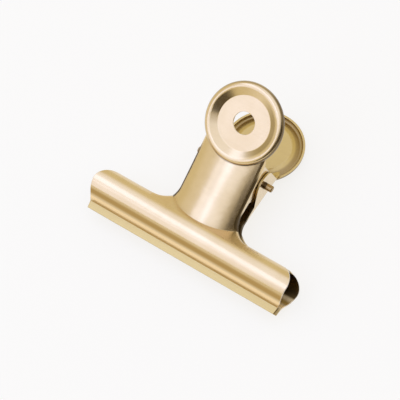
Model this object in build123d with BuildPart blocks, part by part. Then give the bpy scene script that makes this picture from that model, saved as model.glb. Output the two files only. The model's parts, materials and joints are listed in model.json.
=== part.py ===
"""Bulldog clip: two alike stamped jaws on one hinge pin, closed by a torsion spring.

The clip lies on its back as it does on a desk, resting on the barrel and the
disc rim of the rear jaw: +X along the barrel, +Y from the lips towards the
discs, +Z up. Sizes are worked out in the clip's own frame, where x runs along
the barrel, u climbs the closed jaws' mid-plane from the lips and f stands out
from that plane towards the front jaw.
"""
import os
from math import acos, asin, atan2, ceil, cos, degrees, hypot, pi, radians, sin, tan

from build123d import *

# Sheet and running clearances
sheet = 0.5                 # thickness of the stamped steel
lip_gap = 0.10              # between the two closed lips
ear_gap = 0.10              # between ears that lie side by side
pin_clearance = 0.05        # radial, pin in its ear holes

# Barrel: a half tube with a flat lip under it
lip_length = 51.0           # along the gripping edge
barrel_length = 52.6        # at the widest place of the barrel
lip_height = 1.8            # flat strip that grips
lip_bend = 0.5              # bend from the strip into the barrel, at mid-sheet
barrel_radius = 3.6         # outside of the rolled part
barrel_top = 10.4           # height of the barrel above the lip edge
barrel_reach = 5.25         # how far the barrel stands out from the mid-plane
top_gap = 0.7               # between the top edges of the two barrels
shoulder_radius = 4.0       # rounded upper corners of the barrel

# Neck: an arched channel that climbs from the barrel to the disc
neck_width = 15.9
crown_foot = 9.55           # height where the crown line leaves the barrel
crown_drop = 0.68           # crown line below the bead where it runs under the disc
crown_fall = 7.78           # arch of the neck, from its crown to the foot of the flare
crown_flat_fall = 2.22      # the arch opens out as it nears the disc
neck_bend = 1.4             # outside bend from the crown into the side walls
flare_radius = 4.7          # side walls sweep out into the barrel top
web_slope = 45.0            # degrees, where the barrel runs straight on beside the crown
wall_edge = 1.7             # free edge of the side walls, from the mid-plane
wall_step = 13.9            # height where that edge draws back from the barrel's

# Hinge: ears of both jaws on one pin
pin_height = 24.4           # above the lip edge
pin_radius = 0.8
pin_length = 20.2
pin_offset = 0.25           # pin's middle from the clip's, along the barrel
pin_end_round = 0.3
ear_radius = 3.2
ear_slope = 51.0            # degrees, lower edge of an ear against the mid-plane

# Finger disc: flat centre with a hole, raised bead and turned-down rim
disc_height = 33.1          # centre of the disc above the lip edge
disc_reach = 11.2           # bead crest at the disc centre line, from the mid-plane
disc_lean = 20.0            # degrees, disc against the mid-plane
disc_radius = 9.55
disc_flat_radius = 6.4
disc_hole_radius = 2.65
disc_dish = 0.8             # flat centre below the bead crest
disc_bead = 1.1             # outside radius of the bead
disc_rim = 1.35             # crest to the free edge of the rim
disc_bend = 0.5             # bend between flat and slope, at mid-sheet

# Spring: coil round the pin, one leg against the inside of each neck
wire_radius = 0.6
coil_radius = 2.2           # to the middle of the wire
coil_turns = 4              # whole turns between the legs' ends of the coil
coil_pitch = 1.75
leg_drop = 4.0              # leg's end below the disc centre, along the disc
leg_clearance = 0.15        # leg's end short of the disc's back

os.makedirs("parts", exist_ok=True)

# Main forms in the u-f plane
barrel_u = barrel_top - barrel_radius
barrel_f = barrel_reach - barrel_radius
lip_middle = (lip_gap + sheet) / 2
neck_base = barrel_top - barrel_radius / 2
neck_half = neck_width / 2
neck_spread = neck_half + flare_radius + sheet
jaw_shift = (sheet + ear_gap) / 2
lean = radians(disc_lean)
bead_axis = disc_radius - disc_bead


def on_disc(up, below):
    """Point of the front jaw in u and f: up the disc, and below its crest plane."""
    u = disc_height + up * cos(lean) + below * sin(lean)
    f = disc_reach + up * sin(lean) - below * cos(lean)
    return u, f


def crown_reach(u):
    """Outside of the neck's crown line, from the mid-plane, at a height u."""
    foot = barrel_f + (barrel_radius**2 - (crown_foot - barrel_u) ** 2) ** 0.5
    bead_u, bead_f = on_disc(-bead_axis, 0)
    climb = (bead_f - crown_drop - foot) / (bead_u - crown_foot)
    return foot + (u - crown_foot) * climb


# Tilt and height that rest the rear jaw on its barrel and on its bead
bead_u, bead_f = on_disc(bead_axis, disc_bead)
rest_run = bead_u - barrel_u
rest_drop = bead_f - barrel_f
tilt = atan2(rest_drop, rest_run) - asin((barrel_radius - disc_bead) / hypot(rest_run, rest_drop))
stand = barrel_radius + barrel_f * cos(tilt) - barrel_u * sin(tilt)

# The clip's box runs from the front lip's corner to the rear disc's rim
rim_u, rim_f = on_disc(disc_radius, disc_rim)
box_front = -(lip_gap / 2 + sheet) * sin(tilt)
box_back = rim_u * cos(tilt) + rim_f * sin(tilt)

clip = Plane(
    origin=(0, -(box_front + box_back) / 2, stand),
    x_dir=(1, 0, 0),
    z_dir=(0, -sin(tilt), cos(tilt)),
)
side = Plane(origin=clip.origin, x_dir=clip.y_dir, z_dir=clip.x_dir)
jaw_plane = Plane(
    origin=clip.from_local_coords((-jaw_shift, 0, 0)),
    x_dir=clip.x_dir,
    z_dir=clip.z_dir,
)
disc_plane = Plane(
    origin=clip.from_local_coords((-jaw_shift, disc_height, disc_reach)),
    x_dir=clip.x_dir,
    z_dir=clip.y_dir * -sin(lean) + clip.z_dir * cos(lean),
)
disc_section = Plane(origin=disc_plane.origin, x_dir=clip.x_dir, z_dir=-disc_plane.y_dir)


def neck_outline(inset):
    """Face of the neck in elevation, swept out at its foot and drawn in by inset."""
    corner = (neck_half + flare_radius, barrel_top + flare_radius)
    with BuildSketch(jaw_plane) as outline:
        with BuildLine():
            turn = CenterArc(corner, flare_radius + inset, 180, 90)
            Polyline(turn @ 1, (corner[0], neck_base - inset), (0, neck_base - inset))
            Polyline(turn @ 0, (neck_half - inset, disc_height + inset), (0, disc_height + inset))
            mirror(about=Plane.YZ)
        make_face()
    return outline.sketch


def neck_block(inset):
    """Solid under the neck's skin, drawn in from the outside by inset."""
    floor = -disc_reach - inset
    bend = neck_bend - inset
    slope = radians(web_slope)
    foot_u = barrel_u + (barrel_radius - inset) * sin(slope)
    foot_f = barrel_f + (barrel_radius - inset) * cos(slope)
    web_top = foot_u + foot_f / tan(slope)
    # Webs beside the crown, where the barrel runs straight on into the flare
    with BuildPart() as webs:
        with BuildSketch(side):
            Polygon(
                (barrel_u, barrel_f),
                (foot_u, foot_f),
                (web_top, 0),
                (web_top, floor),
                (barrel_u, floor),
                align=None,
            )
        extrude(amount=neck_spread, both=True)
        extrude(neck_outline(inset), amount=2 * disc_reach, both=True, mode=Mode.INTERSECT)
        web_normal = clip.y_dir * sin(slope) + clip.z_dir * cos(slope)
        web = webs.faces().sort_by(Axis(clip.origin, web_normal))[-1]
        fillet(web.edges().filter_by(GeomType.ELLIPSE), radius=bend)
    # Crown lofted through its arches and bent down into the side walls
    with BuildPart() as block:
        for u, fall in (
            (neck_base - inset, crown_fall),
            (pin_height - ear_radius, crown_fall),
            (disc_height + inset, crown_flat_fall),
        ):
            across = Plane(
                origin=jaw_plane.from_local_coords((0, u, 0)),
                x_dir=clip.x_dir,
                z_dir=-clip.y_dir,
            )
            top = crown_reach(u) - inset
            arch = (neck_spread**2 + fall**2) / (2 * fall) - inset
            foot = top - arch + (arch**2 - neck_spread**2) ** 0.5
            with BuildSketch(across):
                with BuildLine():
                    ThreePointArc((-neck_spread, foot), (0, top), (neck_spread, foot))
                    Polyline(
                        (neck_spread, foot),
                        (neck_spread, floor),
                        (-neck_spread, floor),
                        (-neck_spread, foot),
                    )
                make_face()
        loft()
        extrude(neck_outline(inset), amount=2 * disc_reach, both=True, mode=Mode.INTERSECT)
        crown = block.faces().sort_by(Axis(clip.origin, clip.z_dir))[-1]
        bends = crown.edges().group_by(Axis(clip.origin, clip.y_dir))[1:-1]
        fillet([edge for group in bends for edge in group], radius=bend)
        add(webs.part)
    return block.part


# Finger disc, revolved about its hole
with BuildPart() as disc:
    with BuildSketch(disc_section):
        with BuildLine():
            half = sheet / 2
            flat = -disc_dish - half
            bead_middle = disc_bead - half
            run = bead_axis - disc_flat_radius
            fall = flat + disc_bead
            slope = asin(bead_middle / hypot(run, fall)) - atan2(fall, run)
            wall = disc_radius - half
            FilletPolyline(
                (disc_hole_radius, flat),
                (disc_flat_radius, flat),
                (wall, flat + (wall - disc_flat_radius) * tan(slope)),
                (wall, -disc_rim),
                radius=[disc_bend, bead_middle],
            )
        trace(line_width=sheet)
    revolve(axis=Axis(disc_plane.origin, disc_plane.z_dir))

# Neck: an arched channel whose side walls run down into the ears
with BuildPart() as neck:
    add(neck_block(0))
    add(neck_block(sheet), mode=Mode.SUBTRACT)
    with BuildSketch(side):
        with BuildLine():
            step = wall_edge - top_gap / 2
            nose = CenterArc((pin_height, 0), ear_radius, 270 - ear_slope, 90 + ear_slope)
            foot_run = (wall_edge - (nose @ 0).Y) / tan(radians(ear_slope))
            ear_top = pin_height + ear_radius
            wall_top = crown_reach(ear_top) - 2 * neck_bend
            Polyline(
                nose @ 1,
                (ear_top, wall_top),
                (disc_height, wall_top + disc_height - ear_top),
                (disc_height, 2 * disc_reach),
                (neck_base, 2 * disc_reach),
                (neck_base, top_gap / 2),
                (wall_step, top_gap / 2),
                (wall_step + step, wall_edge),
                ((nose @ 0).X - foot_run, wall_edge),
                nose @ 0,
            )
        make_face()
    extrude(amount=neck_width, both=True, mode=Mode.INTERSECT)
    with BuildSketch(side):
        with Locations((barrel_u, barrel_f)):
            Circle(barrel_radius - sheet)
        with Locations((barrel_u, 0)):
            Rectangle(2 * (barrel_radius - sheet), 2 * barrel_f)
        with Locations((pin_height, 0)):
            Circle(pin_radius + pin_clearance)
    extrude(amount=neck_width, both=True, mode=Mode.SUBTRACT)
    with BuildSketch(disc_plane):
        Circle(bead_axis)
    extrude(amount=disc_height, both=True, mode=Mode.SUBTRACT)

# Front jaw: barrel with its lip, opened under the neck, then neck and disc
with BuildPart() as front_jaw:
    with BuildSketch(side.offset(-jaw_shift)):
        with BuildLine():
            rolled = barrel_radius - sheet / 2
            gap_u = barrel_u - lip_height
            gap_f = barrel_f - lip_middle
            ramp = atan2(gap_f, gap_u) + asin(rolled / hypot(gap_u, gap_f))
            roll = CenterArc((barrel_u, barrel_f), rolled, 90 + degrees(ramp), -90 - degrees(ramp))
            FilletPolyline((0, lip_middle), (lip_height, lip_middle), roll @ 0, radius=lip_bend)
            Line(roll @ 1, (barrel_u + rolled, top_gap / 2))
        trace(line_width=sheet)
    extrude(amount=barrel_length / 2, both=True)
    with BuildSketch(jaw_plane):
        with BuildLine():
            corner = (barrel_length / 2 - shoulder_radius, barrel_top - shoulder_radius)
            shoulder = CenterArc(corner, shoulder_radius, 0, 90)
            Polyline((0, 0), (lip_length / 2, 0), shoulder @ 0)
            Line(shoulder @ 1, (0, barrel_top))
            mirror(about=Plane.YZ)
        make_face()
    extrude(amount=2 * barrel_reach, both=True, mode=Mode.INTERSECT)
    add(neck_block(sheet), mode=Mode.SUBTRACT)
    add(neck.part)
    add(disc.part)

# Rear jaw: the same stamping turned half round to face the front one
with BuildPart() as rear_jaw:
    add(front_jaw.part.rotate(Axis(clip.origin, clip.y_dir), 180))

# Hinge pin with softened ends
with BuildPart() as hinge_pin:
    with BuildSketch(side.offset(pin_offset)):
        with Locations((pin_height, 0)):
            Circle(pin_radius)
    extrude(amount=pin_length / 2, both=True)
    fillet(hinge_pin.edges().filter_by(GeomType.CIRCLE), radius=pin_end_round)

# Torsion spring: both legs leave the far side of the coil
leg_below = disc_dish + sheet + wire_radius + leg_clearance
leg_u, leg_f = on_disc(-leg_drop, leg_below)
leg_span = hypot(leg_u - pin_height, leg_f)
coil_end = atan2(leg_f, leg_u - pin_height) + acos(coil_radius / leg_span)
coil_sweep = 2 * pi * coil_turns + 2 * (pi - coil_end)
coil_half = coil_pitch * coil_sweep / (4 * pi)
quarters = ceil(coil_sweep / (pi / 2))


def coil_node(index):
    """Point and direction of the wire at the end of a quarter turn."""
    share = index / quarters
    angle = 2 * pi - coil_end - coil_sweep * share
    advance = 0 if index in (0, quarters) else 2 * coil_half / (coil_sweep * coil_radius)
    along = coil_half * (2 * share - 1)
    place = Vector(along, pin_height + coil_radius * cos(angle), coil_radius * sin(angle))
    heading = clip.x_dir * advance + clip.y_dir * sin(angle) - clip.z_dir * cos(angle)
    return clip.from_local_coords(place), heading.normalized()


def quarter_joint(start, end):
    """Point where the two arcs of a quarter turn meet, smooth at both ends."""
    chord = end[0] - start[0]
    both = start[1] + end[1]
    bend = 2 * (1 - start[1].dot(end[1]))
    pull = chord.dot(both)
    reach = (-pull + (pull**2 + bend * chord.dot(chord)) ** 0.5) / bend
    return (start[0] + start[1] * reach + end[0] - end[1] * reach) * 0.5


with BuildPart() as torsion_spring:
    with BuildLine() as wire:
        nodes = [coil_node(index) for index in range(quarters + 1)]
        Line(clip.from_local_coords((-coil_half, leg_u, -leg_f)), nodes[0][0])
        for start, end in zip(nodes, nodes[1:]):
            joint = quarter_joint(start, end)
            first = TangentArc(start[0], joint, tangent=start[1])
            TangentArc(joint, end[0], tangent=first % 1)
        Line(nodes[-1][0], clip.from_local_coords((coil_half, leg_u, leg_f)))
    path = wire.wires()[0]
    with BuildSketch(Plane(origin=path @ 0, z_dir=path % 0)):
        Circle(wire_radius)
    sweep(path=path)

# Least gap of the wire to itself, leaving out what lies within half a turn along it
mark_count = 32 * quarters
marks = [path @ (index / mark_count) for index in range(mark_count + 1)]
apart = ceil(pi * coil_radius * mark_count / path.length)
least = min(
    (marks[i] - marks[j]).length
    for i in range(len(marks))
    for j in range(i + apart, len(marks))
)
print(f"least gap of the spring wire to itself: {least - 2 * wire_radius:.2f} mm")

for name, piece in (
    ("front_jaw", front_jaw),
    ("rear_jaw", rear_jaw),
    ("hinge_pin", hinge_pin),
    ("torsion_spring", torsion_spring),
):
    piece.part.label = name
    export_step(piece.part, f"parts/{name}.step")
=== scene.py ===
"""Gold bulldog clip in a small studio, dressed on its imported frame.

Two pressed jaws swing on one pin, and a wound spring round the pin holds their
lips shut. Sizes are in metres. The clip lies on its back: +X runs along the
barrel, +Y from the lips to the finger discs, +Z up.
"""
from __future__ import annotations

import json
import logging
import math
from collections import Counter
from dataclasses import dataclass
from enum import Enum
from typing import Any, Union

import bpy
from mathutils import Euler, Matrix, Vector

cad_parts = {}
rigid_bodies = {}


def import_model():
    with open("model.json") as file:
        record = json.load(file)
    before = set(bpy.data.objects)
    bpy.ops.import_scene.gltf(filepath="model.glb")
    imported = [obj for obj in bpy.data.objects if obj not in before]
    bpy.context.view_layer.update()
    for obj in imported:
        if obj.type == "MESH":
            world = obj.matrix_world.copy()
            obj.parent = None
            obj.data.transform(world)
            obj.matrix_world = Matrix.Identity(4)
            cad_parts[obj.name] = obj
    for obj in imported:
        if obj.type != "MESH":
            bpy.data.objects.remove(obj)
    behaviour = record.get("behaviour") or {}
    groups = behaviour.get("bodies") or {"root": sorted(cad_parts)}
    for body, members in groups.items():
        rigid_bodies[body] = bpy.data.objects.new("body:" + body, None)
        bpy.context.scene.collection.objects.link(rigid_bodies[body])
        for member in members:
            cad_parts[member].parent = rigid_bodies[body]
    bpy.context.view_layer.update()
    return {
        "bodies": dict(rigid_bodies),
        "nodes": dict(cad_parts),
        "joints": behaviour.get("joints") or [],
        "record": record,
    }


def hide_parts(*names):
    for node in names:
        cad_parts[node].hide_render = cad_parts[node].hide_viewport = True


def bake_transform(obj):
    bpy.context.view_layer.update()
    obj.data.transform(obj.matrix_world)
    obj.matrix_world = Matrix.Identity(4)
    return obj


LOG = logging.getLogger("bulldog_clip")

Colour = tuple[float, float, float]
Triple = tuple[float, float, float]
# A step has two limits: where it begins and where it is full. A zone has two more: where it fades and ends.
Span = tuple[float, ...]
Operand = Union[float, "Signal"]
Key = Union[int, str]

MILLI = 0.001
NOISE_MIDDLE = 0.5
RELIEF_DEPTH = 0.02 * MILLI


def millimetres(*sizes: float) -> Span:
    """Sizes in millimetres, as metres."""
    return tuple(size * MILLI for size in sizes)


def squares(span: Span) -> Span:
    """The span to use for a squared measure."""
    return tuple(limit**2 for limit in span)


def compass(bearing: float) -> Vector:
    """Level direction at a bearing in degrees, from the lips' side towards +X."""
    turn = math.radians(bearing)
    return Vector((math.sin(turn), -math.cos(turn), 0.0))


class JawSide(Enum):
    """The two pressed jaws, by the names of their bodies and solids."""

    FRONT = "front_jaw"
    REAR = "rear_jaw"

    @property
    def hole(self) -> str:
        """Name of the mount at the hole in this jaw's finger disc."""
        return self.value.replace("jaw", "hanging_hole")

    @property
    def inward(self) -> float:
        """Sign of the way to the other jaw, where the way to the front jaw is positive."""
        return -1.0 if self is JawSide.FRONT else 1.0


@dataclass(frozen=True)
class Disc:
    """A finger disc: the middle of its hole, its outward axis and its sheet's thickness."""

    centre: Vector
    axis: Vector
    sheet: float


@dataclass(frozen=True)
class Layout:
    """Places on the resting clip that the finishes and the spring are set out from.

    Attributes:
        pin: Middle of the hinge.
        discs: The finger disc of each jaw.
        pin_height: How far the pin lies above the lips' edge.
    """

    pin: Vector
    discs: dict[JawSide, Disc]
    pin_height: float = 24.4 * MILLI

    @classmethod
    def read(cls, frame: dict[str, Any], hinge: str = "jaw_hinge") -> Layout:
        """Find the pin and both discs in the frame.

        Args:
            frame: What the loaded frame holds.
            hinge: Name of the joint at the pin.

        Returns:
            The clip's layout.
        """
        pins = {joint["name"]: joint["pos_m"] for joint in frame["joints"]}
        holes = {mount["name"]: mount for mount in frame["record"]["mounts"]}
        discs = {}
        for side in JawSide:
            hole = holes[side.hole]
            sheet = hole["dims"]["length_mm"] * MILLI
            discs[side] = Disc(Vector(hole["pos_m"]), Vector(hole["axis"]), sheet)
        return cls(Vector(pins[hinge]), discs)

    @property
    def across(self) -> Vector:
        """Direction square to the plane between the jaws, towards the front jaw."""
        return (self.discs[JawSide.FRONT].axis - self.discs[JawSide.REAR].axis).normalized()

    @property
    def climb(self) -> Vector:
        """Direction from the lips to the pin, in the plane between the jaws."""
        return Vector((0.0, self.across.z, -self.across.y))

    @property
    def tilt(self) -> float:
        """Angle by which the plane between the jaws rises from the floor."""
        return math.atan2(self.climb.z, self.climb.y)

    @property
    def lip_edge(self) -> Vector:
        """Middle of the edge where the lips meet."""
        return self.pin - self.pin_height * self.climb


class Maths(Enum):
    """Operations of the Math node that the finishes use."""

    ADD = "ADD"
    SUBTRACT = "SUBTRACT"
    MULTIPLY = "MULTIPLY"


class Signal:
    """A value in a node tree that Python's operators extend with Math nodes."""

    def __init__(self, bench: Bench, socket: bpy.types.NodeSocket | None) -> None:
        """Keep the bench and the output socket that carries the value."""
        self.bench = bench
        self.socket = socket

    def _maths(self, operation: Maths, first: Operand, second: Operand) -> Signal:
        """Add one Math node.

        Args:
            operation: What the node works out.
            first: Its first value.
            second: Its second value.

        Returns:
            The node's result.
        """
        return self.bench.node(
            "ShaderNodeMath", {"operation": operation.value}, {0: first, 1: second}
        )

    def __add__(self, other: Operand) -> Signal:
        """Sum of two values."""
        return self._maths(Maths.ADD, self, other)

    def __radd__(self, other: Operand) -> Signal:
        """Sum with a number in front."""
        return self._maths(Maths.ADD, other, self)

    def __sub__(self, other: Operand) -> Signal:
        """Difference of two values."""
        return self._maths(Maths.SUBTRACT, self, other)

    def __rsub__(self, other: Operand) -> Signal:
        """Difference from a number in front."""
        return self._maths(Maths.SUBTRACT, other, self)

    def __mul__(self, other: Operand) -> Signal:
        """Product of two values."""
        return self._maths(Maths.MULTIPLY, self, other)

    def __rmul__(self, other: Operand) -> Signal:
        """Product with a number in front."""
        return self._maths(Maths.MULTIPLY, other, self)


@dataclass(frozen=True)
class Pattern:
    """An uneven pattern in a finish.

    Attributes:
        scale: Features per metre.
        detail: Octaves of finer noise.
        stretch: Scale along each axis, small where the pattern is drawn out.
        rough: How far it varies the roughness.
        relief: How far it raises the surface, as a share of the relief's depth.
        gain: Strength of each octave beside the one before it.
    """

    scale: float
    detail: float
    stretch: Triple = (1.0, 1.0, 1.0)
    rough: float = 0.0
    relief: float = 0.0
    gain: float = 0.55


class SheetPattern(Enum):
    """Uneven patterns of rolled and plated sheet."""

    CLOUD = Pattern(140.0, 3.0, relief=0.9)
    SMUDGE = Pattern(420.0, 4.0, rough=0.08)
    GRAIN = Pattern(9000.0, 3.0, (0.06, 1.0, 1.0), rough=0.10, relief=0.5)
    STREAK = Pattern(1700.0, 2.0, (0.035, 1.0, 1.0), rough=0.08)
    PIT = Pattern(7000.0, 2.0, relief=0.3)


class Bench:
    """The nodes of one material or of the world."""

    def __init__(self, tree: bpy.types.NodeTree) -> None:
        """Take over a node tree and empty it."""
        self.tree = tree
        tree.nodes.clear()

    @classmethod
    def for_material(cls, name: str) -> tuple[Bench, bpy.types.Material]:
        """Start a new material.

        Args:
            name: Name of the finish.

        Returns:
            The bench for its nodes, and the material.
        """
        material = bpy.data.materials.new(name)
        material.use_nodes = True
        return cls(material.node_tree), material

    @staticmethod
    def _find(sockets: Any, key: Key) -> bpy.types.NodeSocket:
        """Find a socket by its number, identifier or name."""
        if isinstance(key, int):
            return sockets[key]
        for socket in sockets:
            if socket.identifier == key:
                return socket
        return sockets[key]

    def node(
        self,
        kind: str,
        settings: dict[str, Any] | None = None,
        sockets: dict[Key, Any] | None = None,
        output: Key = 0,
    ) -> Signal:
        """Add a node, set it, then fill or link its sockets.

        Args:
            kind: Blender's name for the node's type.
            settings: Properties of the node, set before its sockets.
            sockets: Values or signals by socket number, identifier or name.
            output: Socket that carries the result.

        Returns:
            The chosen output, which is empty for a node without outputs.
        """
        made = self.tree.nodes.new(kind)
        for name, value in (settings or {}).items():
            setattr(made, name, value)
        for key, value in (sockets or {}).items():
            target = self._find(made.inputs, key)
            if isinstance(value, Signal):
                self.tree.links.new(value.socket, target)
            elif target.type == "RGBA" and len(value) == 3:
                target.default_value = (*value, 1.0)
            else:
                target.default_value = value
        return Signal(self, self._find(made.outputs, output) if made.outputs else None)

    def noise(self, place: Signal, pattern: Pattern) -> Signal:
        """Smooth noise around one half.

        Args:
            place: Coordinates in metres.
            pattern: Size and stretch of the noise.

        Returns:
            The noise value.
        """
        stretched = self.node(
            "ShaderNodeMapping", {}, {"Vector": place, "Scale": pattern.stretch}
        )
        return self.node(
            "ShaderNodeTexNoise",
            {"noise_dimensions": "3D"},
            {
                "Vector": stretched,
                "Scale": pattern.scale,
                "Detail": pattern.detail,
                "Roughness": pattern.gain,
            },
        )

    def ramp(self, value: Signal, start: float, full: float) -> Signal:
        """Smooth step of a value.

        Args:
            value: What is stepped.
            start: Where the step begins.
            full: Where the step is complete.

        Returns:
            A value from 0 to 1.
        """
        return self.node(
            "ShaderNodeMapRange",
            {"interpolation_type": "SMOOTHSTEP"},
            {"Value": value, "From Min": start, "From Max": full},
        )

    def zone(self, value: Signal, start: float, full: float, fade: float, end: float) -> Signal:
        """Smooth step up and down again.

        Args:
            value: What is stepped.
            start: Where the zone begins.
            full: Where it has faded in.
            fade: Where it begins to fade out.
            end: Where it ends.

        Returns:
            A value from 0 to 1.
        """
        return self.ramp(value, start, full) * (1.0 - self.ramp(value, fade, end))

    def mix(self, share: Operand, first: Any, second: Any) -> Signal:
        """Blend two colours.

        Args:
            share: How much of the second colour shows.
            first: A colour or a signal.
            second: A colour or a signal.

        Returns:
            The blended colour.
        """
        return self.node(
            "ShaderNodeMix",
            {"data_type": "RGBA"},
            {"Factor_Float": share, "A_Color": first, "B_Color": second},
            "Result_Color",
        )

    def dot(self, first: Signal, second: Any) -> Signal:
        """Dot product of two vectors.

        Args:
            first: A vector signal.
            second: A vector or a signal.

        Returns:
            The product.
        """
        return self.node(
            "ShaderNodeVectorMath",
            {"operation": "DOT_PRODUCT"},
            {0: first, 1: second},
            "Value",
        )

    def part(self, vector: Signal, axis: str) -> Signal:
        """One component of a vector."""
        return self.node("ShaderNodeSeparateXYZ", {}, {0: vector}, axis)

    def bump(self, height: Operand, strength: float, normal: Signal | None = None) -> Signal:
        """Fine relief.

        Args:
            height: How high the surface stands.
            strength: How much of the relief shows.
            normal: Normal that the relief is laid on, where it isn't the surface's own.

        Returns:
            The new normal.
        """
        sockets: dict[Key, Any] = {
            "Strength": strength,
            "Distance": RELIEF_DEPTH,
            "Height": height,
        }
        if normal is not None:
            sockets["Normal"] = normal
        return self.node("ShaderNodeBump", {}, sockets)

    def finish(self, shader: Signal) -> None:
        """Send a shader to the material's surface."""
        self.node("ShaderNodeOutputMaterial", {}, {"Surface": shader})


@dataclass(frozen=True)
class Layer:
    """One mark in a finish: where it lies, and what it changes there.

    Attributes:
        mask: 1 where the mark lies and 0 elsewhere.
        tone: Its colour, or None where it leaves the colour as it is.
        share: How much of that colour shows.
        rough: What it adds to the roughness.
        bare: Share of the clear coat that is gone.
        matt: Share of the metal's shine that is gone.
    """

    mask: Signal
    tone: Colour | None = None
    share: float = 1.0
    rough: float = 0.0
    bare: float = 0.0
    matt: float = 0.0


class Survey:
    """Measures of a point on the clip, which the masks are made from.

    Attributes:
        bench: Where nodes are added.
        place: The point itself.
        turned: The way that the surface faces.
        rounded: That way with sharp edges rounded off.
        above: Height above the lips' edge, along the plane between the jaws.
        out: Distance from that plane, towards the front jaw.
        along: Squared distance along the barrel from the clip's middle.
        side: How far the surface faces along the barrel.
        sideways: The square of that.
        noises: The sheet's uneven patterns.
    """

    def __init__(self, bench: Bench, layout: Layout, rounded: Signal) -> None:
        """Add the nodes that measure a point.

        Args:
            bench: Where nodes are added.
            layout: Places on the clip.
            rounded: Normal with sharp edges rounded off.
        """
        self.bench = bench
        self.rounded = rounded
        self.place = bench.node("ShaderNodeTexCoord", output="Object")
        self.turned = bench.node("ShaderNodeTexCoord", output="Normal")
        self.above = bench.dot(self.place, layout.climb) - layout.climb.dot(layout.lip_edge)
        self.out = bench.dot(self.place, layout.across) - layout.across.dot(layout.lip_edge)
        along = bench.part(self.place, "X")
        self.along = along * along
        self.side = bench.part(self.turned, "X")
        self.sideways = self.side * self.side
        self.noises = {
            pattern: bench.noise(self.place, pattern.value) for pattern in SheetPattern
        }


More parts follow.
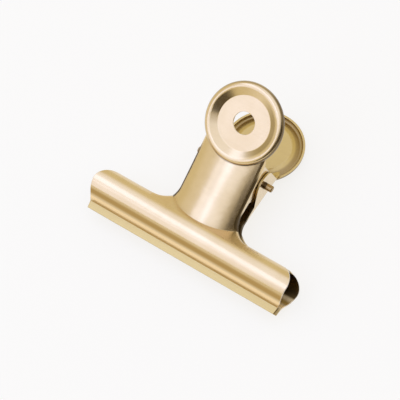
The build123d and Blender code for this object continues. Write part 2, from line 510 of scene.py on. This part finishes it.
@dataclass(frozen=True, kw_only=True)
class GoldPlate:
    """Lacquered gold plating, satin, with worn edges, and painted shade along bends and in corners."""

    name: str
    layout: Layout
    gold: Colour = (0.69, 0.48, 0.18)
    pale: Colour = (0.73, 0.52, 0.215)
    brown: Colour = (0.56, 0.36, 0.11)
    # Painted shade in corners that little light reaches
    crevice_shade: Colour = (0.26, 0.16, 0.045)
    # Worn edges, and painted light in the lower inside of the barrel
    worn_and_lit: Colour = (0.80, 0.62, 0.34)
    # Painted shade along bends, at the neck's foot and in the deepest corners
    shade_brown: Colour = (0.09, 0.055, 0.015)
    # Painted shade inside barrel and neck, and round the pin where it leaves the ears
    hollow_shade: Colour = (0.085, 0.052, 0.017)
    satin: float = 0.18
    coat: float = 1.0
    coat_satin: float = 0.22
    coat_index: float = 2.2
    relief: float = 0.10
    edge_round: float = 0.14 * MILLI
    edge_samples: int = 6
    crevice: float = 1.6 * MILLI
    crevice_samples: int = 8
    # Steps of the noises where clouds, streaks, pits and worn edges show
    cloud_step: Span = (0.36, 0.66)
    streak_step: Span = (0.50, 0.74)
    pit_step: Span = (0.62, 0.80)
    smudge_step: Span = (0.30, 0.62)
    # How far the normal turns at an edge, and how much light reaches a corner
    edge_turn: Span = (0.01, 0.16)
    recess_light: Span = (0.25, 0.95)
    deep_light: Span = (0.08, 0.42)
    # Painted shade along bends and, at the neck's foot, on the walls: squared facing and height above the
    # lips' edge
    bend_turn: Span = (0.28, 0.44, 0.86, 0.97)
    bend_above: Span = millimetres(10.8, 12.5, 23.5, 26.5)
    foot_turn: Span = (0.55, 0.80)
    foot_above: Span = millimetres(11.0, 12.5, 14.8, 17.0)

    def rolled(self, survey: Survey) -> list[Layer]:
        """Streaks and pits that rolling leaves in the sheet.

        Args:
            survey: Measures of a point.

        Returns:
            The marks, the lowest first.
        """
        bench = survey.bench
        streaks = bench.ramp(survey.noises[SheetPattern.STREAK], *self.streak_step)
        pits = bench.ramp(survey.noises[SheetPattern.PIT], *self.pit_step)
        return [
            Layer(streaks, self.brown, share=0.12),
            Layer(pits, self.brown, share=0.35),
        ]

    def bends(self, survey: Survey) -> Layer:
        """Painted shade: dark lines where the metal turns round to the side.

        Args:
            survey: Measures of a point.

        Returns:
            The lines as one mark.
        """
        bench = survey.bench
        turn, above = survey.sideways, survey.above
        line = bench.zone(turn, *self.bend_turn) * bench.zone(above, *self.bend_above)
        foot = bench.ramp(turn, *self.foot_turn) * bench.zone(above, *self.foot_above)
        both = line + foot - line * foot
        return Layer(both, self.shade_brown, rough=0.30, bare=1.0, matt=0.3)

    def wear_and_shade(self, survey: Survey, shade_kept: Operand = 1.0) -> list[Layer]:
        """Worn edges, and painted shade in corners where little light reaches.

        Args:
            survey: Measures of a point.
            shade_kept: Share of the painted shade in corners that stays.

        Returns:
            The marks, the lowest first.
        """
        bench = survey.bench
        facing = bench.node("ShaderNodeNewGeometry", output="Normal")
        turn = 1.0 - bench.dot(survey.rounded, facing)
        smudges = bench.ramp(survey.noises[SheetPattern.SMUDGE], *self.smudge_step)
        edge = bench.ramp(turn, *self.edge_turn) * smudges
        light = bench.node(
            "ShaderNodeAmbientOcclusion",
            {"samples": self.crevice_samples},
            {"Distance": self.crevice},
            "AO",
        )
        # Painted shade: corners that little light reaches are darkened, the deepest ones most
        recess = (1.0 - bench.ramp(light, *self.recess_light)) * shade_kept
        deep = 1.0 - bench.ramp(light, *self.deep_light)
        return [
            Layer(edge, self.worn_and_lit, share=0.55, rough=0.06),
            Layer(recess, self.crevice_shade, share=0.85, bare=0.8),
            Layer(deep, self.shade_brown, bare=0.9),
        ]

    def layers(self, survey: Survey) -> list[Layer]:
        """Marks in the plating, the lowest first."""
        return [*self.rolled(survey), self.bends(survey), *self.wear_and_shade(survey)]

    def material(self) -> bpy.types.Material:
        """Build the plating from its layers.

        Returns:
            The finished material.
        """
        bench, material = Bench.for_material(self.name)
        rounded = bench.node(
            "ShaderNodeBevel", {"samples": self.edge_samples}, {"Radius": self.edge_round}
        )
        survey = Survey(bench, self.layout, rounded)

        clouds = bench.ramp(survey.noises[SheetPattern.CLOUD], *self.cloud_step)
        tone = bench.mix(clouds, self.gold, self.pale)
        rough: Operand = self.satin
        height: Operand = 0.0
        for pattern, noise in survey.noises.items():
            if pattern.value.rough:
                rough = rough + (noise - NOISE_MIDDLE) * pattern.value.rough
            if pattern.value.relief:
                height = height + noise * pattern.value.relief

        coat: Operand = self.coat
        metal: Operand = 1.0
        for layer in self.layers(survey):
            if layer.tone is not None:
                tone = bench.mix(layer.mask * layer.share, tone, layer.tone)
            if layer.rough:
                rough = rough + layer.mask * layer.rough
            if layer.bare:
                coat = coat * (1.0 - layer.mask * layer.bare)
            if layer.matt:
                metal = metal - layer.mask * layer.matt

        shader = bench.node(
            "ShaderNodeBsdfPrincipled",
            {},
            {
                "Base Color": tone,
                "Metallic": metal,
                "Roughness": rough,
                "Coat Weight": coat,
                "Coat Roughness": self.coat_satin,
                "Coat IOR": self.coat_index,
                "Normal": bench.bump(height, self.relief, rounded),
            },
        )
        bench.finish(shader)
        return material


@dataclass(frozen=True, kw_only=True)
class JawPlate(GoldPlate):
    """Plating of a jaw: painted shade on the lip, along the fold, inside and on the finger disc, a painted
    highlight on the fold's crest and painted light in the barrel's mouth.
    """

    side: JawSide
    # Painted shade between the jaws, on faces that look towards the other jaw
    dull_and_shaded: Colour = (0.57, 0.395, 0.09)
    # Painted shade on the lip
    lip_shade_tone: Colour = (0.545, 0.38, 0.112)
    # Painted highlight along the fold's crest
    crest_highlight: Colour = (0.95, 0.66, 0.28)
    # Painted shade: brown band along the fold
    fold_shade: Colour = (0.425, 0.25, 0.047)
    # Painted shade on the disc's rim, strongest on its +X side
    rim_shade: Colour = (0.15, 0.097, 0.033)
    # Painted shade on the disc's slope, on its -X side
    slope_shade: Colour = (0.34, 0.228, 0.071)
    # Painted shade in the groove behind the disc's bead, on the inner face
    groove_shade: Colour = (0.30, 0.185, 0.06)
    # How far a face that looks towards the other jaw is turned that way
    inner_turn: Span = (0.05, 0.35)
    # Heights above the lips' edge
    lip_shade_height: Span = millimetres(1.44, 2.07)
    crest: Span = millimetres(1.95, 2.45, 2.60, 3.05)
    fold_band: Span = millimetres(2.80, 3.50, 3.85, 4.70)
    mouth_top: Span = millimetres(5.0, 5.7)
    channel: Span = millimetres(10.5, 12.0, 19.5, 22.0)
    # Barrel: its middle, and the distance from there at which the painted shade inside ends
    barrel_above: float = 6.8 * MILLI
    barrel_out: float = 1.65 * MILLI
    barrel_bore: Span = millimetres(3.2, 3.5)
    # Webs beside the neck: distance along the barrel and height above the lips' edge
    web_along: Span = millimetres(5.5, 9.0, 10.0, 19.0)
    web_above: Span = millimetres(7.4, 10.4, 11.2, 12.6)
    # Share by which mouth and webs stay free of the painted shade in corners
    shade_spared: float = 0.8
    # Disc: depth along its axis, then distances from its axis, and how far a face is turned sideways
    disc_depth: Span = millimetres(-1.35, -0.95)
    rim: Span = millimetres(9.0, 9.4, 9.6, 9.75)
    slope: Span = millimetres(6.3, 6.6, 7.4, 7.9)
    groove: Span = millimetres(7.0, 7.6, 8.7, 9.1)
    rim_turn: Span = (0.0, 0.6)
    rim_least: float = 0.55
    slope_turn: Span = (0.05, 0.35)

    def layers(self, survey: Survey) -> list[Layer]:
        """Marks in a jaw's plating.

        Args:
            survey: Measures of a point.

        Returns:
            The marks, the lowest first.
        """
        bench = survey.bench
        facing = bench.dot(survey.turned, self.layout.across * self.side.inward)
        inner = bench.ramp(facing, *self.inner_turn)
        upper = bench.ramp(survey.above, *self.mouth_top)
        mouth = inner * (1.0 - upper)
        web = self._web(survey, inner)
        shade_kept = (1.0 - mouth * self.shade_spared) * (1.0 - web * self.shade_spared)
        return [
            # Faces towards the other jaw: rougher, with less coat, and painted darker as shade between the
            # jaws
            Layer(inner, self.dull_and_shaded, share=0.8, rough=0.20, bare=0.6),
            Layer(web, rough=0.26, bare=0.6),
            *self._disc(survey, inner),
            # Painted light: the lower inside of the barrel is painted pale as if lit through its mouth, and
            # is rougher and less metallic
            Layer(mouth, self.worn_and_lit, rough=0.30, matt=0.6),
            *self._fold(survey),
            *self.rolled(survey),
            self.bends(survey),
            *self.wear_and_shade(survey, shade_kept),
            # Painted shade inside the barrel and in the neck's channel
            Layer(self._hollow(survey, inner, upper), self.hollow_shade, bare=1.0),
        ]

    def _fold(self, survey: Survey) -> list[Layer]:
        """Painted shade on the lip, a painted highlight on the crest and a painted shaded band, along the
        fold between lip and barrel.

        Args:
            survey: Measures of a point.

        Returns:
            The marks, the lowest first.
        """
        bench, above = survey.bench, survey.above
        lip_shade_mask = 1.0 - bench.ramp(above, *self.lip_shade_height)
        return [
            Layer(lip_shade_mask, self.lip_shade_tone, rough=0.12, bare=0.75),
            Layer(bench.zone(above, *self.crest), self.crest_highlight),
            Layer(bench.zone(above, *self.fold_band), self.fold_shade, bare=0.75),
        ]

    def _web(self, survey: Survey, inner: Signal) -> Signal:
        """Find the outside of the flared webs beside the neck.

        Args:
            survey: Measures of a point.
            inner: Mask of the faces that look towards the other jaw.

        Returns:
            The webs' mask.
        """
        along = survey.bench.zone(survey.along, *squares(self.web_along))
        above = survey.bench.zone(survey.above, *self.web_above)
        return along * above * (1.0 - inner)

    def _hollow(self, survey: Survey, inner: Signal, upper: Signal) -> Signal:
        """Find the inside of barrel and neck, which is painted dark as shade.

        Args:
            survey: Measures of a point.
            inner: Mask of the faces that look towards the other jaw.
            upper: Mask of what lies above the barrel's mouth.

        Returns:
            The mask of the inside.
        """
        out = survey.out + self.side.inward * self.barrel_out
        over = survey.above - self.barrel_above
        outside = survey.bench.ramp(out * out + over * over, *squares(self.barrel_bore))
        channel = inner * survey.bench.zone(survey.above, *self.channel)
        return (1.0 - outside) * upper * (1.0 - channel) + channel

    def _disc(self, survey: Survey, inner: Signal) -> list[Layer]:
        """Paint shade on the finger disc's rim, its dished slope and the groove behind its bead.

        Args:
            survey: Measures of a point.
            inner: Mask of the faces that look towards the other jaw.

        Returns:
            The marks, the lowest first.
        """
        bench = survey.bench
        disc = self.layout.discs[self.side]
        arm = bench.node(
            "ShaderNodeVectorMath", {"operation": "SUBTRACT"}, {0: survey.place, 1: disc.centre}
        )
        depth = bench.dot(arm, disc.axis)
        reach = bench.dot(arm, arm) - depth * depth
        on_disc = bench.ramp(depth, *self.disc_depth)
        outer = on_disc * (1.0 - inner)
        # Painted shade: the disc is darker on its +X side, where the rim faces +X and the slope faces -X
        right = self.rim_least + (1.0 - self.rim_least) * bench.ramp(survey.side, *self.rim_turn)
        left = bench.ramp(0.0 - survey.side, *self.slope_turn)
        rim = outer * bench.zone(reach, *squares(self.rim)) * right
        slope = outer * bench.zone(reach, *squares(self.slope)) * left
        groove = on_disc * inner * bench.zone(reach, *squares(self.groove))
        return [
            Layer(rim, self.rim_shade, bare=0.7),
            Layer(slope, self.slope_shade, share=0.8, bare=0.5),
            Layer(groove, self.groove_shade, share=0.7, bare=0.5),
        ]


@dataclass(frozen=True, kw_only=True)
class PinPlate(GoldPlate):
    """Darker plating of the pin, with painted shade in a collar where it leaves the ears."""

    gold: Colour = (0.42, 0.27, 0.095)
    pale: Colour = (0.48, 0.315, 0.12)
    brown: Colour = (0.27, 0.16, 0.05)
    satin: float = 0.30
    coat: float = 0.1
    collar: Span = millimetres(8.0, 8.2, 8.75, 8.95)

    def layers(self, survey: Survey) -> list[Layer]:
        """Marks in the plating, the lowest first."""
        collar = survey.bench.zone(survey.along, *squares(self.collar))
        # Painted shade in a collar where the pin leaves the ears
        return [*super().layers(survey), Layer(collar, self.hollow_shade)]


@dataclass(frozen=True)
class DrawnWire:
    """Plated spring wire, duller than the sheet and lined by the drawing die."""

    name: str
    gold: Colour = (0.58, 0.44, 0.24)
    dark: Colour = (0.34, 0.25, 0.14)
    satin: float = 0.36
    relief: float = 0.25
    cloud: Pattern = Pattern(380.0, 3.0)
    cloud_step: Span = (0.35, 0.7)
    lines: Pattern = Pattern(7000.0, 3.0, (1.0, 0.1, 0.1), rough=0.2)

    def material(self) -> bpy.types.Material:
        """Build the wire's finish.

        Returns:
            The finished material.
        """
        bench, material = Bench.for_material(self.name)
        place = bench.node("ShaderNodeTexCoord", output="Object")
        clouds = bench.ramp(bench.noise(place, self.cloud), *self.cloud_step)
        lines = bench.noise(place, self.lines)
        shader = bench.node(
            "ShaderNodeBsdfPrincipled",
            {},
            {
                "Base Color": bench.mix(clouds, self.gold, self.dark),
                "Metallic": 1.0,
                "Roughness": self.satin + (lines - NOISE_MIDDLE) * self.lines.rough,
                "Normal": bench.bump(lines, self.relief),
            },
        )
        bench.finish(shader)
        return material


@dataclass(frozen=True)
class PaleFloor:
    """Matt white studio floor that keeps a soft shadow."""

    name: str
    pale: Colour = (0.88, 0.84, 0.76)
    fleck: Colour = (0.85, 0.81, 0.73)
    fleck_share: float = 0.1
    grit: Pattern = Pattern(900.0, 3.0)
    grit_step: Span = (0.3, 0.7)
    matt: float = 0.9
    white: Colour = (1.0, 0.99, 0.965)
    glow: float = 0.8

    def material(self) -> bpy.types.Material:
        """Build the floor's finish.

        Returns:
            The finished material.
        """
        bench, material = Bench.for_material(self.name)
        place = bench.node("ShaderNodeTexCoord", output="Object")
        flecks = bench.ramp(bench.noise(place, self.grit), *self.grit_step) * self.fleck_share
        matt = bench.node(
            "ShaderNodeBsdfPrincipled",
            {},
            {
                "Base Color": bench.mix(flecks, self.pale, self.fleck),
                "Roughness": self.matt,
                "Specular IOR Level": 0.0,
            },
        )
        white = bench.node("ShaderNodeEmission", {}, {"Color": self.white, "Strength": 1.0})
        camera, glossy, transmission = (
            bench.node("ShaderNodeLightPath", output=kind)
            for kind in ("Is Camera Ray", "Is Glossy Ray", "Is Transmission Ray")
        )
        seen = (camera + glossy + transmission) * self.glow
        bench.finish(bench.node("ShaderNodeMixShader", {}, {0: seen, 1: matt, 2: white}))
        return material


def deselect_all() -> None:
    """Leave nothing selected, so that the next operator acts on new work only."""
    if bpy.context.object and bpy.context.object.mode != "OBJECT":
        bpy.ops.object.mode_set(mode="OBJECT")
    bpy.ops.object.select_all(action="DESELECT")


def select_only(piece: bpy.types.Object) -> None:
    """Select one piece alone and make it the active one."""
    deselect_all()
    piece.select_set(True)
    bpy.context.view_layer.objects.active = piece


@dataclass
class PlatedSolid:
    """A solid of the frame that keeps its shape and gets a plating."""

    node: str
    finish: GoldPlate

    def dress(self, nodes: dict[str, bpy.types.Object]) -> bpy.types.Object:
        """Plate the solid.

        Args:
            nodes: Solids of the frame by name.

        Returns:
            The dressed solid.
        """
        solid = nodes[self.node]
        solid.data.materials.clear()
        solid.data.materials.append(self.finish.material())
        return solid


class Jaw(PlatedSolid):
    """One pressed jaw: barrel and lip, arched neck with ears, dished finger disc."""

    @classmethod
    def plated(cls, layout: Layout, side: JawSide) -> Jaw:
        """Choose the plating of one jaw.

        Args:
            layout: Places on the clip.
            side: Which of the two jaws.

        Returns:
            The jaw, still to be dressed.
        """
        finish = JawPlate(name=f"{side.value}_plating", layout=layout, side=side)
        return cls(side.value, finish)


class HingePin(PlatedSolid):
    """Round rod through the four ears."""

    @classmethod
    def plated(cls, layout: Layout) -> HingePin:
        """Choose the plating of the pin.

        Args:
            layout: Places on the clip.

        Returns:
            The pin, still to be dressed.
        """
        return cls("hinge_pin", PinPlate(name="pin_plating", layout=layout))


@dataclass
class TorsionSpring:
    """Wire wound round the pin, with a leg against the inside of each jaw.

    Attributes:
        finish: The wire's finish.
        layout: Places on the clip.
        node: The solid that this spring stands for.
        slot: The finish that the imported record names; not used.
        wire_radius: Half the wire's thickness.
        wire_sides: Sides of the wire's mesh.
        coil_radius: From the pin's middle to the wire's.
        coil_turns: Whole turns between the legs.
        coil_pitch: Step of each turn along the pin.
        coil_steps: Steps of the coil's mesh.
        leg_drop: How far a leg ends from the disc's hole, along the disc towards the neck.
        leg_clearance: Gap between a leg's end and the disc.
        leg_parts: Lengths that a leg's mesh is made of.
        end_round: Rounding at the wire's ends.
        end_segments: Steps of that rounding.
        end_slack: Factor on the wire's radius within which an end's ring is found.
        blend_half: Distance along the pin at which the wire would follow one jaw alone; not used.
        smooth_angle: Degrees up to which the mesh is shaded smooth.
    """

    finish: DrawnWire
    layout: Layout
    node: str = "torsion_spring"
    slot: str = "spring_wire"
    wire_radius: float = 0.6 * MILLI
    wire_sides: int = 20
    coil_radius: float = 2.2 * MILLI
    coil_turns: int = 4
    coil_pitch: float = 1.75 * MILLI
    coil_steps: int = 170
    leg_drop: float = 4.0 * MILLI
    leg_clearance: float = 0.15 * MILLI
    leg_parts: int = 4
    end_round: float = 0.15 * MILLI
    end_segments: int = 3
    end_slack: float = 1.02
    blend_half: float = 3.1 * MILLI
    smooth_angle: float = 50.0

    @property
    def leg_end(self) -> Vector:
        """Where the front leg ends, seen from the pin: under the disc, near the neck."""
        disc = self.layout.discs[JawSide.FRONT]
        below = disc.sheet / 2 + self.wire_radius + self.leg_clearance
        along = Vector((0.0, disc.axis.z, -disc.axis.y))
        return disc.centre - below * disc.axis - self.leg_drop * along - self.layout.pin

    @property
    def leg_climb(self) -> float:
        """How far a leg ends from the pin, along the plane between the jaws."""
        return self.leg_end.dot(self.layout.climb)

    @property
    def leg_reach(self) -> float:
        """How far a leg ends from the plane between the jaws."""
        return self.leg_end.dot(self.layout.across)

    @property
    def leg_length(self) -> float:
        """Straight wire from the coil to a leg's end."""
        span = math.hypot(self.leg_climb, self.leg_reach)
        return math.sqrt(span**2 - self.coil_radius**2)

    @property
    def coil_end(self) -> float:
        """Angle round the pin, from the plane between the jaws, where a leg leaves the coil."""
        lean = math.atan2(self.leg_reach, self.leg_climb)
        return lean + math.atan2(self.leg_length, self.coil_radius)

    @property
    def coil_sweep(self) -> float:
        """Angle that the wire winds through between its legs."""
        return 2 * math.pi * self.coil_turns + 2 * (math.pi - self.coil_end)

    @property
    def coil_length(self) -> float:
        """Length of the coil along the pin."""
        return self.coil_pitch * self.coil_sweep / (2 * math.pi)

    def build(self) -> bpy.types.Object:
        """Wind the coil, draw out its legs and set it on the pin.

        Returns:
            The spring, in place.
        """
        deselect_all()
        bpy.ops.mesh.primitive_circle_add(
            vertices=self.wire_sides, radius=self.wire_radius, location=(0.0, self.coil_radius, 0.0)
        )
        spring = bpy.context.object
        spring.name = "coil_spring"
        bpy.ops.object.transform_apply(location=True, rotation=True, scale=True)
        coil = spring.modifiers.new("coil", "SCREW")
        coil.axis = "X"
        coil.angle = -self.coil_sweep
        coil.screw_offset = self.coil_length
        coil.steps = self.coil_steps
        coil.render_steps = self.coil_steps
        coil.use_merge_vertices = False
        bpy.ops.object.modifier_apply(modifier=coil.name)
        self._draw_leg(spring, share=0.0)
        self._draw_leg(spring, share=1.0)
        select_only(spring)
        bpy.ops.object.mode_set(mode="EDIT")
        bpy.ops.mesh.select_all(action="SELECT")
        bpy.ops.mesh.normals_make_consistent(inside=False)
        bpy.ops.object.mode_set(mode="OBJECT")
        spring.location = self.layout.pin - Vector((self.coil_length / 2, 0.0, 0.0))
        spring.rotation_euler = Euler((self.layout.tilt - self.coil_end, 0.0, 0.0))
        bpy.ops.object.transform_apply(location=True, rotation=True, scale=True)
        bpy.ops.object.shade_smooth_by_angle(angle=math.radians(self.smooth_angle))
        return spring

    def _draw_leg(self, spring: bpy.types.Object, share: float) -> None:
        """Draw one leg out of an end of the coil and round off the wire's end.

        Args:
            spring: The wound coil.
            share: Which end it is: 0 where the winding starts, 1 where it stops.
        """
        turn = -self.coil_sweep * share
        radial = Vector((0.0, math.cos(turn), math.sin(turn)))
        tangent = Vector((0.0, -math.sin(turn), math.cos(turn)))
        # The first leg runs against the winding, the second one on with it
        way = 1.0 - 2.0 * share
        run = way * self.leg_length * tangent
        centre = self.coil_radius * radial + Vector((share * self.coil_length, 0.0, 0.0))
        select_only(spring)
        self._select_end(spring.data, centre)
        bpy.ops.object.mode_set(mode="EDIT")
        bpy.ops.mesh.select_mode(type="EDGE")
        for _ in range(self.leg_parts):
            bpy.ops.mesh.extrude_edges_move(
                TRANSFORM_OT_translate={"value": tuple(run / self.leg_parts)}
            )
        bpy.ops.mesh.edge_face_add()
        bpy.ops.mesh.bevel(offset=self.end_round, segments=self.end_segments, affect="EDGES")
        bpy.ops.object.mode_set(mode="OBJECT")

    def _select_end(self, mesh: bpy.types.Mesh, centre: Vector) -> None:
        """Select the open ring at an end of the wire.

        Args:
            mesh: The spring's mesh.
            centre: Middle of that ring.
        """
        near = {
            vertex.index
            for vertex in mesh.vertices
            if (vertex.co - centre).length < self.wire_radius * self.end_slack
        }
        uses = Counter(
            pair for face in mesh.polygons for pair in face.edge_keys if near.issuperset(pair)
        )
        ring = {index for pair, count in uses.items() if count == 1 for index in pair}
        for vertex in mesh.vertices:
            vertex.select = vertex.index in ring
        for edge in mesh.edges:
            edge.select = ring.issuperset(edge.vertices)
        for face in mesh.polygons:
            face.select = False

    def dress(self, spring: bpy.types.Object) -> None:
        """Give the wire its finish, fix its place into its mesh and hide the solid that it stands for."""
        spring.data.materials.append(self.finish.material())
        -self.blend_half
        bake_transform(spring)
        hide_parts(self.node)


@dataclass(frozen=True)
class SoftLamp:
    """A flat soft lamp that faces the clip.

    Attributes:
        name: Name of the lamp.
        bearing: Degrees round the clip, from its lips towards +X.
        height: Degrees above the floor.
        spread: Degrees that its face spans, across and up.
        glow: How bright its face is, where white paper in full light is 1.
        distance: How far it hangs from the clip.
        colour: Colour of its light.
    """

    name: str
    bearing: float
    height: float
    spread: tuple[float, float]
    glow: float
    distance: float = 0.8
    colour: Colour = (0.32, 0.43, 1.0)

    def hang(self) -> None:
        """Hang the lamp."""
        rise = math.radians(self.height)
        level = math.cos(rise) * compass(self.bearing)
        place = self.distance * (level + Vector((0.0, 0.0, math.sin(rise))))
        across, up = (2 * self.distance * math.tan(math.radians(span / 2)) for span in self.spread)
        deselect_all()
        bpy.ops.object.light_add(type="AREA", location=place)
        lamp = bpy.context.object
        lamp.name = self.name
        lamp.data.shape = "RECTANGLE"
        lamp.data.size = across
        lamp.data.size_y = up
        lamp.data.energy = self.glow * math.pi * across * up
        lamp.data.color = self.colour
        lamp.rotation_euler = place.to_track_quat("Z", "Y").to_euler()
        lamp.visible_camera = False


@dataclass(frozen=True)
class Dome:
    """Soft sky over the studio, brighter overhead and dark beside the lips, towards +X.

    The dark part lies where two half-skies overlap, each round its own bearing in
    degrees. A card makes its lower part, and dusk fades it out upwards. Heights are
    sines of the angle above the floor.
    """

    low: Colour = (0.81, 0.76, 0.59)
    high: Colour = (1.13, 1.22, 1.65)
    dark: Colour = (0.105, 0.087, 0.06)
    rise: Span = (0.55, 0.92)
    right_bearing: float = 97.0
    front_bearing: float = 18.0
    front_step: Span = (0.0, 0.14)
    card_height: Span = (0.64, 0.68)
    card_step: Span = (0.0, 0.14)
    dusk_height: Span = (0.72, 0.92)
    dusk_step: Span = (0.15, 0.45)
    dusk_share: float = 0.36

    def build(self) -> None:
        """Make the dome the scene's world."""
        world = bpy.data.worlds.new("studio_dome")
        world.use_nodes = True
        bpy.context.scene.world = world
        bench = Bench(world.node_tree)
        direction = bench.node("ShaderNodeTexCoord", output="Generated")
        height = bench.part(direction, "Z")
        right = bench.dot(direction, compass(self.right_bearing))
        front = bench.dot(direction, compass(self.front_bearing))
        card = (1.0 - bench.ramp(height, *self.card_height)) * bench.ramp(right, *self.card_step)
        dusk = (1.0 - bench.ramp(height, *self.dusk_height)) * bench.ramp(right, *self.dusk_step)
        dusk = dusk * self.dusk_share
        shade = (card + dusk - card * dusk) * bench.ramp(front, *self.front_step)
        tone = bench.mix(bench.ramp(height, *self.rise), self.low, self.high)
        tone = bench.mix(shade, tone, self.dark)
        glow = bench.node("ShaderNodeBackground", {}, {"Color": tone, "Strength": 1.0})
        bench.node("ShaderNodeOutputWorld", {}, {"Surface": glow})


@dataclass(frozen=True)
class Studio:
    """Pale floor, dome, soft lamps and the camera."""

    floor_size: float = 6.0
    lamps: tuple[SoftLamp, ...] = (
        SoftLamp("tall_lamp", -25.5, 28.5, (28.0, 42.0), 1.0),
        SoftLamp("soft_lamp", -40.0, 31.0, (48.0, 44.0), 0.24),
        SoftLamp("high_lamp", -57.0, 65.0, (54.0, 18.0), 1.2),
        SoftLamp("wide_lamp", 8.0, 57.0, (34.0, 14.0), 0.42),
    )
    eye: Triple = (0.128348, -0.138650, 0.399463)
    aim: Triple = (-0.002118, -0.009514, 0.010615)
    roll: float = -13.0228
    lens: float = 170.709
    sensor: float = 36.0
    nearest: float = 0.01
    farthest: float = 20.0

    def floor(self) -> None:
        """Lay the floor."""
        deselect_all()
        bpy.ops.mesh.primitive_plane_add(size=self.floor_size, location=(0.0, 0.0, 0.0))
        floor = bpy.context.object
        floor.name = "studio_floor"
        floor.data.materials.append(PaleFloor("pale_floor").material())

    def camera(self) -> None:
        """Stand the camera at the viewing angle."""
        deselect_all()
        bpy.ops.object.camera_add(location=self.eye)
        camera = bpy.context.object
        camera.name = "studio_camera"
        camera.data.lens = self.lens
        camera.data.sensor_width = self.sensor
        camera.data.clip_start = self.nearest
        camera.data.clip_end = self.farthest
        look = (Vector(self.aim) - Vector(self.eye)).to_track_quat("-Z", "Y").to_matrix()
        turned = look @ Matrix.Rotation(math.radians(self.roll), 3, "Z")
        camera.rotation_euler = turned.to_euler()
        bpy.context.scene.camera = camera

    def build(self) -> None:
        """Set up floor, dome, lamps and camera."""
        self.floor()
        Dome().build()
        for lamp in self.lamps:
            lamp.hang()
        self.camera()
        bpy.context.scene.view_settings.view_transform = "Standard"


def main() -> None:
    """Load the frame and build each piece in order."""
    logging.basicConfig(level=logging.INFO, format="%(name)s: %(message)s")
    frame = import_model()
    layout = Layout.read(frame)
    Studio().build()
    solids = [*(Jaw.plated(layout, side) for side in JawSide), HingePin.plated(layout)]
    for solid in solids:
        piece = solid.dress(frame["nodes"])
        LOG.info("%s plated, %d faces", piece.name, len(piece.data.polygons))
    torsion_spring = TorsionSpring(DrawnWire("spring_plating"), layout)
    spring = torsion_spring.build()
    torsion_spring.dress(spring)
    LOG.info("%s wound, %d faces", spring.name, len(spring.data.polygons))


if __name__ == "__main__":
    main()
